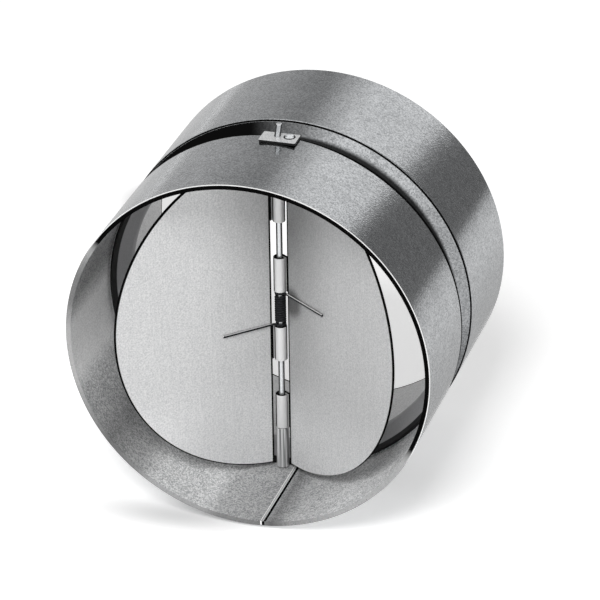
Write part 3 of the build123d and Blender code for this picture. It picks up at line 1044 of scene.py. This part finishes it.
# %% Rubber
rubber, tree, shader, place = new_finish("extruded_black_rubber", {"Metallic": 0.0})
grit = add(tree, "TexNoise", {"Vector": place, "Scale": 1 / (0.5 * mm), "Detail": 2.0})
axes = add(tree, "SeparateXYZ", {"Vector": place})
lip = add(tree, "MapRange", {"Value": (axes, "Y"), "From Min": -53.1 * mm, "From Max": -53.4 * mm})
grey_face = paint(tree, "#a0a0a1", (grit, "#c0c0c2"))
# The front lip is painted black as shade in the bend of the sheet.
rubber_tone = paint(tree, grey_face, (lip, "#0e0e0e"))
rubber_rough = add(tree, "MapRange", {"Value": grit, "To Min": 0.55, "To Max": 0.75})
wear(rubber, shader, {"Base Color": rubber_tone, "Roughness": rubber_rough}, grit, 0.02 * mm)

# %% [markdown]
# ### Zinc plate
# The pin and the rivet are steel with a thin bright coat of zinc, tumbled in a drum, so they are smooth with
# small dull specks. The pin's two flanks and a ring round the rivet's head are outlined in black painted shade.
# The flanks lie along the level line across the photograph's view. That direction was worked out from the fitted
# camera and is written as fixed numbers on the object: no node reads the camera, so the shade doesn't slide, but
# seen from other sides it doesn't lie on the pin's outline.

# %% Zinc plate
# The level way across the view, along which round rods get painted shade on both flanks.
flank_way = (0.953, 0.303, 0.0)


def flank_share(tree, place):
    """How far a round rod's side is turned to the shaded side or to the one opposite, from 0 to 1."""
    turned = add(tree, "VectorMath", {0: (place[0], "Normal"), 1: flank_way}, operation="DOT_PRODUCT")
    return add(tree, "Math", {0: turned}, operation="ABSOLUTE")


zinc_plate, tree, shader, place = new_finish("bright_zinc_plate", {"Specular IOR Level": 0.0})
speck = add(tree, "TexNoise", {"Vector": place, "Scale": 1 / (0.8 * mm), "Detail": 3.0})
flattened = add(tree, "VectorMath", {0: place, 1: (1, 1, 0)}, operation="MULTIPLY")
from_rivet = add(tree, "VectorMath", {0: flattened, 1: (rivet_x, pin_y, 0)}, operation="DISTANCE")
# A ring of painted shade round the rivet's head.
rivet_ring_shade = add(tree, "Math", {0: from_rivet, 1: rivet_head_r, 2: 0.2 * mm}, operation="COMPARE")
# Painted shade on the pin's two flanks.
flank_shade = add(tree, "MapRange", {"Value": flank_share(tree, place), "From Min": 0.5, "From Max": 0.6, "To Max": 0.92})
plate_tone = paint(tree, "#c2c4c6", (speck, "#eceef0"))
shaded_plate_tone = paint(tree, plate_tone, (rivet_ring_shade, "#1c1c1c"), (flank_shade, "#161616"))
bare = add(tree, "MapRange", {"Value": flank_shade, "To Min": 0.75, "To Max": 0.0})
plate_rough = add(tree, "MapRange", {"Value": speck, "To Min": 0.18, "To Max": 0.3})
wear(zinc_plate, shader, {"Base Color": shaded_plate_tone, "Metallic": bare, "Roughness": plate_rough}, speck, 0.005 * mm)

# %% [markdown]
# ### Drawn aluminium tube
# The spacers are cut from tube that was pulled through a die, which leaves fine bright and dark lines along it.
# A noise that is stretched along Z gives them.

# %% Aluminium tube
die_line = 0.5 * mm
die_line_l = 30 * mm
tube_finish, tree, shader, place = new_finish("drawn_aluminium_tube", {"Metallic": 0.6})
along = add(tree, "Mapping", {"Vector": place, "Scale": (1 / die_line, 1 / die_line, 1 / die_line_l)})
streak = add(tree, "TexNoise", {"Vector": along, "Scale": 1.0, "Detail": 1.0})
streak_share = add(tree, "MapRange", {"Value": streak, "From Min": 0.35, "From Max": 0.65})
tube_tone = paint(tree, "#8a8b8c", (streak_share, "#fafafa"))
tube_rough = add(tree, "MapRange", {"Value": streak, "To Min": 0.4, "To Max": 0.3})
wear(tube_finish, shader, {"Base Color": tube_tone, "Roughness": tube_rough}, streak, 0.004 * mm)

# %% [markdown]
# ### Mill-finish aluminium sheet
# The blades are bare rolled aluminium: paler than zinc and a softer mirror, with very faint rolling lines along
# the pin and a fine grain, which is drawn 0.5 mm wide so that it shows.

# %% Rolled aluminium
rolling_line = 0.6 * mm
rolling_line_l = 12 * mm
sheet_grain = 0.5 * mm
blade_finish, tree, shader, place = new_finish("mill_finish_aluminium_sheet", {"Specular IOR Level": 0.0})
along = add(tree, "Mapping", {"Vector": place, "Scale": (1 / rolling_line, 1 / rolling_line, 1 / rolling_line_l)})
streak = add(tree, "TexNoise", {"Vector": along, "Scale": 1.0, "Detail": 2.0})
grain = add(tree, "TexNoise", {"Vector": place, "Scale": 1 / sheet_grain, "Detail": 1.0})
both = add(tree, "Math", {0: streak, 1: 0.25, 2: grain}, operation="MULTIPLY_ADD")
share = add(tree, "MapRange", {"Value": both, "From Min": 0.4, "From Max": 0.85})
sheet_tone = paint(tree, "#dadbdc", (share, "#fcfcfc"))
print("rolling lines", rolling_line / mm, "mm wide and", rolling_line_l / mm, "mm long")

# %% [markdown]
# ### Painted shade on the blades
# The blades darken towards the hinge's upper end, and the right one is darker, as shade under the casing's rim
# and in the corner between the blades. This is painted shade, which fades towards the rim and the foot, with a
# painted shadow of the coil where the spring lies.

# %% Painted shade and coil shadow
# Where the coil's painted shadow lies on the blade, measured from the middle of the pin.
coil_shadow_centre = (4.0 * mm, -2.5 * mm, 3.5 * mm)
from_pin = add(tree, "VectorMath", {0: place, 1: (0, pin_y, 0)}, operation="SUBTRACT")
axes, _, from_axis = about(tree, from_pin, "XY")
near_hinge = add(tree, "MapRange", {"Value": from_axis, "From Min": 32 * mm, "From Max": 2 * mm},
                 interpolation_type="SMOOTHSTEP")
near_top = add(tree, "MapRange", {"Value": (axes, "Z"), "From Min": -30 * mm, "From Max": 48 * mm})
on_right = add(tree, "MapRange", {"Value": (axes, "X"), "From Max": 4 * mm, "To Max": 0.45})
# Painted shade, darker towards the top and on the right blade.
painted_shade = add(tree, "Math", {0: near_top, 1: on_right}, operation="ADD")
hinge_shade = join_masks(tree, "MULTIPLY", painted_shade, near_hinge)
hinge_depth = add(tree, "Math", {0: hinge_shade, 1: 0.24}, operation="MULTIPLY", use_clamp=True)
above_foot = add(tree, "MapRange", {"Value": (axes, "Z"), "From Min": -56 * mm, "From Max": -18 * mm,
                                    "To Max": 0.22}, interpolation_type="SMOOTHSTEP")
right_more = add(tree, "Math", {0: on_right, 1: 1.1, 2: 1.0}, operation="MULTIPLY_ADD")
above_depth = join_masks(tree, "MULTIPLY", above_foot, right_more)
shade_depth = add(tree, "Math", {0: hinge_depth, 1: above_depth}, operation="ADD")
# The coil's painted shadow on the blade.
from_spring = add(tree, "VectorMath", {0: from_pin, 1: coil_shadow_centre}, operation="DISTANCE")
coil_shadow = add(tree, "MapRange", {"Value": from_spring, "From Min": 7 * mm, "From Max": 3 * mm, "To Max": 0.65},
             interpolation_type="SMOOTHSTEP")
print("the smudge lies", [round(v / mm, 2) for v in coil_shadow_centre], "mm from the middle of the pin")

# %% [markdown]
# ### Edges of the blades
# The knuckles are brighter than the sheet, as if the rolling tool had polished them. The blades and knuckles are
# outlined in black painted shade on the cut edges, the knuckles' upper ends and flanks and the bend beside the pin.
# The flanks take the same fixed direction as the pin's.

# %% Aluminium sheet
rolled = add(tree, "MapRange", {"Value": from_axis, "From Min": knuckle_r + 0.4 * mm,
                                "From Max": knuckle_r + 0.2 * mm})
reach = add(tree, "VectorMath", {0: from_pin}, operation="LENGTH")
right_spared = add(tree, "MapRange", {"Value": (axes, "X"), "From Min": 4 * mm, "From Max": 10 * mm,
                                      "To Max": 0.34 * mm})
edge_reach = add(tree, "Math", {0: reach, 1: right_spared}, operation="SUBTRACT")
sawn = add(tree, "MapRange", {"Value": edge_reach, "From Min": blade_r - 0.48 * mm,
                              "From Max": blade_r - 0.4 * mm})
beside_pin = add(tree, "Math", {0: from_axis, 1: knuckle_r + 0.87 * mm, 2: 0.5 * mm}, operation="COMPARE")
facing = add(tree, "SeparateXYZ", {"Vector": (place[0], "Normal")})
knuckle_end = add(tree, "Math", {0: (facing, "Z"), 1: 0.5}, operation="GREATER_THAN")
nook = add(tree, "MapRange", {"Value": flank_share(tree, place), "From Min": 0.8, "From Max": 0.88})
nook_shade = join_masks(tree, "MULTIPLY", nook, rolled)
# Black painted shade on the cut edges, the knuckles' upper ends and flanks, and the bend beside the pin.
edge_shade = join_masks(tree, "MAXIMUM", sawn, beside_pin, nook_shade, knuckle_end)
blade_tone = paint(tree, sheet_tone, (shade_depth, "#202020"), (coil_shadow, "#202020"), (rolled, "#dcdcdc"),
                   (edge_shade, "#101010"))
bare = add(tree, "MapRange", {"Value": edge_shade, "To Min": 0.4, "To Max": 0.0})
blade_rough = add(tree, "MapRange", {"Value": share, "To Min": 0.42, "To Max": 0.36})
wear(blade_finish, shader, {"Base Color": blade_tone, "Metallic": bare, "Roughness": blade_rough}, both, 0.003 * mm)

# %% [markdown]
# ### Drawn spring wire
# Spring wire keeps the dark grey skin of the drawing soap and heat, which the coil shows. The legs are bright
# between two dark outlines, so a painted highlight runs along them on one fixed direction, upwards and a little
# towards the outlet.

# %% Spring wire
# The way of the legs' painted highlight: upwards and a little towards the outlet.
highlight_way = (-0.143, -0.196, 0.97)
wire_finish, tree, shader, place = new_finish("drawn_spring_wire", {"Specular IOR Level": 0.0})
skin = add(tree, "TexNoise", {"Vector": place, "Scale": 1 / (0.6 * mm), "Detail": 2.0})
from_pin = add(tree, "VectorMath", {0: place, 1: (0, pin_y, 0)}, operation="SUBTRACT")
*_, from_axis = about(tree, from_pin, "XY")
on_leg = add(tree, "MapRange", {"Value": from_axis, "From Min": 2.6 * mm, "From Max": 3.6 * mm})
turned = add(tree, "VectorMath", {0: (place[0], "Normal"), 1: highlight_way}, operation="DOT_PRODUCT")
highlight_side = add(tree, "MapRange", {"Value": turned, "From Min": 0.84, "From Max": 0.9})
# Painted highlight along the legs.
wire_highlight = join_masks(tree, "MULTIPLY", on_leg, highlight_side)
dark_skin = paint(tree, "#161617", (skin, "#38393b"))
wire_tone = paint(tree, dark_skin, (wire_highlight, "#fafafa"))
bare = add(tree, "MapRange", {"Value": wire_highlight, "To Min": 0.3, "To Max": 0.7})
wire_rough = add(tree, "MapRange", {"Value": skin, "To Min": 0.25, "To Max": 0.4})
wear(wire_finish, shader, {"Base Color": wire_tone, "Metallic": bare, "Roughness": wire_rough}, skin, 0.004 * mm)

# %% [markdown]
# ### Dressing
# Each piece wears the finish of the slot that the record gives its measured node, and so does the node.

# %% Dressing the pieces
finish_of_slot = {
    "galvanised_steel": galvanised_sheet,
    "galvanised_steel_plate": galvanised_strip,
    "seal_rubber": rubber,
    "zinc_plated_steel": zinc_plate,
    "aluminium_tube": tube_finish,
    "aluminium_sheet": blade_finish,
    "spring_steel": wire_finish,
}
for node, piece in stands_for.items():
    finish = finish_of_slot[slot_of_node[node]]
    for wearer in (piece, frame["nodes"][node]):
        wearer.data.materials.clear()
        wearer.data.materials.append(finish)
print(len(bpy.data.materials), "materials on", len(stands_for), "pieces")

# %% [markdown]
# ## The table
# The damper lies on a white table. A plain white board takes the lamp's light as it is written, and the eye,
# mirrors and glass also see a little glow of its own, which lifts it to clean white and leaves the shadow.
# Two soft shades are painted on the board, one behind the damper at the left and one before its front left.
# The photograph has shadows there, which one lamp doesn't give.

# %% Table
table_glow = 0.42
bpy.ops.object.select_all(action="DESELECT")
bpy.ops.mesh.primitive_plane_add(size=8, location=(0, 0, pin_low.z))
table = bpy.context.object
table.name = "white_table"
table_white, tree, shader, place = new_finish("white_table_top", {
    "Metallic": 0.0, "Roughness": 1.0, "Specular IOR Level": 0.0, "Emission Color": linear("#ffffff")})


def seen_by_eye_or_mirror(tree):
    """1 for a ray from the camera, a mirror or glass, and 0 for any other."""
    path = add(tree, "LightPath", {})
    rays = [(path, "Is " + kind + " Ray") for kind in ("Camera", "Glossy", "Transmission")]
    return join_masks(tree, "MAXIMUM", *rays)


def soft_shade(tree, place, centre, stretch, reach, core, depth):
    """A shade on the table round a centre, squeezed along Y, that fades from its core out to its reach."""
    offset = add(tree, "VectorMath", {0: place, 1: centre}, operation="SUBTRACT")
    squeezed = add(tree, "VectorMath", {0: offset, 1: (1.0, stretch, 0.0)}, operation="MULTIPLY")
    far = add(tree, "VectorMath", {0: squeezed}, operation="LENGTH")
    return add(tree, "MapRange", {"Value": far, "From Min": reach, "From Max": core, "To Max": depth},
               interpolation_type="SMOOTHSTEP")


behind_left = soft_shade(tree, place, (-106 * mm, 135 * mm, 0), 1.0, 26 * mm, 12 * mm, 0.36)
front_left = soft_shade(tree, place, (-26 * mm, -94 * mm, 0), 3.0, 46 * mm, 0.0, 0.46)
shade = add(tree, "Math", {0: behind_left, 1: front_left}, operation="ADD")
board_tone = paint(tree, "#f6f6f6", (shade, "#606060"))
glow_level = add(tree, "MapRange", {"Value": shade, "To Min": table_glow, "To Max": 0.0})
glow = join_masks(tree, "MULTIPLY", seen_by_eye_or_mirror(tree), glow_level)
for source, name in ((board_tone, "Base Color"), (glow, "Emission Strength")):
    tree.links.new(socket(source), shader.inputs[name])
table.data.materials.append(table_white)
print("the table lies at z", round(pin_low.z / mm, 2), "mm")

# %% [markdown]
# ## The light
# One large soft lamp hangs in front of the damper and above it, so a soft shadow lies close round it and behind
# it. The room fills the shadow with a weak even light.
# Metal shows what stands round it. So the room is white to the eye and to mirrors, and grey cloths, which only
# mirrors see, lie where the studio seems to have been dark: behind, to the right, and on the table to both sides.

# %% Room
room_fill = 0.35
world = bpy.data.worlds.new("studio")
bpy.context.scene.world = world
world.use_nodes = True
tree = world.node_tree
tree.nodes.clear()
level = add(tree, "MapRange", {"Value": seen_by_eye_or_mirror(tree), "To Min": room_fill, "To Max": 1.0})
room = add(tree, "Background", {"Color": linear("#ffffff"), "Strength": level})
add(tree, "OutputWorld", {"Surface": room})
print("the room lights the damper at", room_fill)

# %% [markdown]
# ### The lamp
# The lamp is an area light one metre wide. A smaller one would give hard shadows, and a sun lamp would light the
# table evenly far out. Mirrors don't see it, because its bright square would hide the zinc's own grain.

# %% Lamp
bpy.ops.object.light_add(type="AREA", location=(0.05, -1.8, 2.0))
lamp = bpy.context.object
lamp.name = "soft_lamp"
lamp.data.size = 1.0
lamp.data.energy = 50
lamp.rotation_euler = (-lamp.location).to_track_quat("-Z", "Y").to_euler()
lamp.visible_glossy = False
print("lamp", round(lamp.location.length, 2), "m away")

# %% [markdown]
# ### The cloths
# Each cloth is a plane that glows in greys that change from left to right. It casts no shadow and lights nothing,
# so it only shapes what the metal mirrors. Two stand upright and two lie on the table.

# %% Cloths
cloth_distance = 2.0
on_table = (pin_low.z + mm, pin_low.z + mm)


def cloth(name, y_span, z_span, stops):
    """A cloth that only mirrors see, flat or upright. Its tone follows stops of X and hex value."""
    first, last = stops[0][0], stops[-1][0]
    bpy.ops.object.select_all(action="DESELECT")
    bpy.ops.mesh.primitive_plane_add(size=1)
    panel = bpy.context.object
    panel.name = name
    corners = [(x, y, z) for y, z in zip(y_span, z_span) for x in (first, last)]
    for vertex, corner in zip(panel.data.vertices, corners):
        vertex.co = corner
    material = bpy.data.materials.new(name + "_weave")
    material.use_nodes = True
    tree = material.node_tree
    tree.nodes.clear()
    place = add(tree, "TexCoord", {})
    axes = add(tree, "SeparateXYZ", {"Vector": (place, "Object")})
    along = add(tree, "MapRange", {"Value": (axes, "X"), "From Min": first, "From Max": last})
    glow = add(tree, "Emission", {"Color": blend(tree, along, stops), "Strength": 1.0})
    add(tree, "OutputMaterial", {"Surface": glow})
    panel.data.materials.append(material)
    panel.visible_camera = False
    panel.visible_diffuse = False
    panel.visible_shadow = False
    print(name, "from x", first, "to", last, "m")


cloth("back_cloth", (cloth_distance, cloth_distance), (pin_low.z, 1.9), [
    (-2.4, "#c0c0c0"), (-1.2, "#c0c0c0"), (-0.62, "#9c9c9c"), (-0.5, "#9c9c9c"), (-0.02, "#f0f0f0"),
    (0.1, "#ffffff"), (2.4, "#ffffff")])
cloth("right_cloth", (0.6, 0.6), (pin_low.z, 0.9), [(0.31, "#6a6a6a"), (0.5, "#808080"), (1.8, "#808080")])
cloth("left_table_cloth", (0.02, 0.9), on_table, [(-1.8, "#c8c8c8"), (-0.4, "#d2d2d2"), (-0.045, "#dadada")])
cloth("right_table_cloth", (-0.09, 0.6), on_table, [
    (0.05, "#b4b4b4"), (0.1, "#d4d4d4"), (0.14, "#e8e8e8"), (0.18, "#eeeeee"), (0.34, "#d4d4d4"),
    (0.5, "#aaaaaa"), (1.8, "#808080")])

# %% [markdown]
# ## The picture settings
# The picture shows colours plainly, as they are written.

# %% Picture settings
bpy.context.scene.view_settings.view_transform = "Standard"
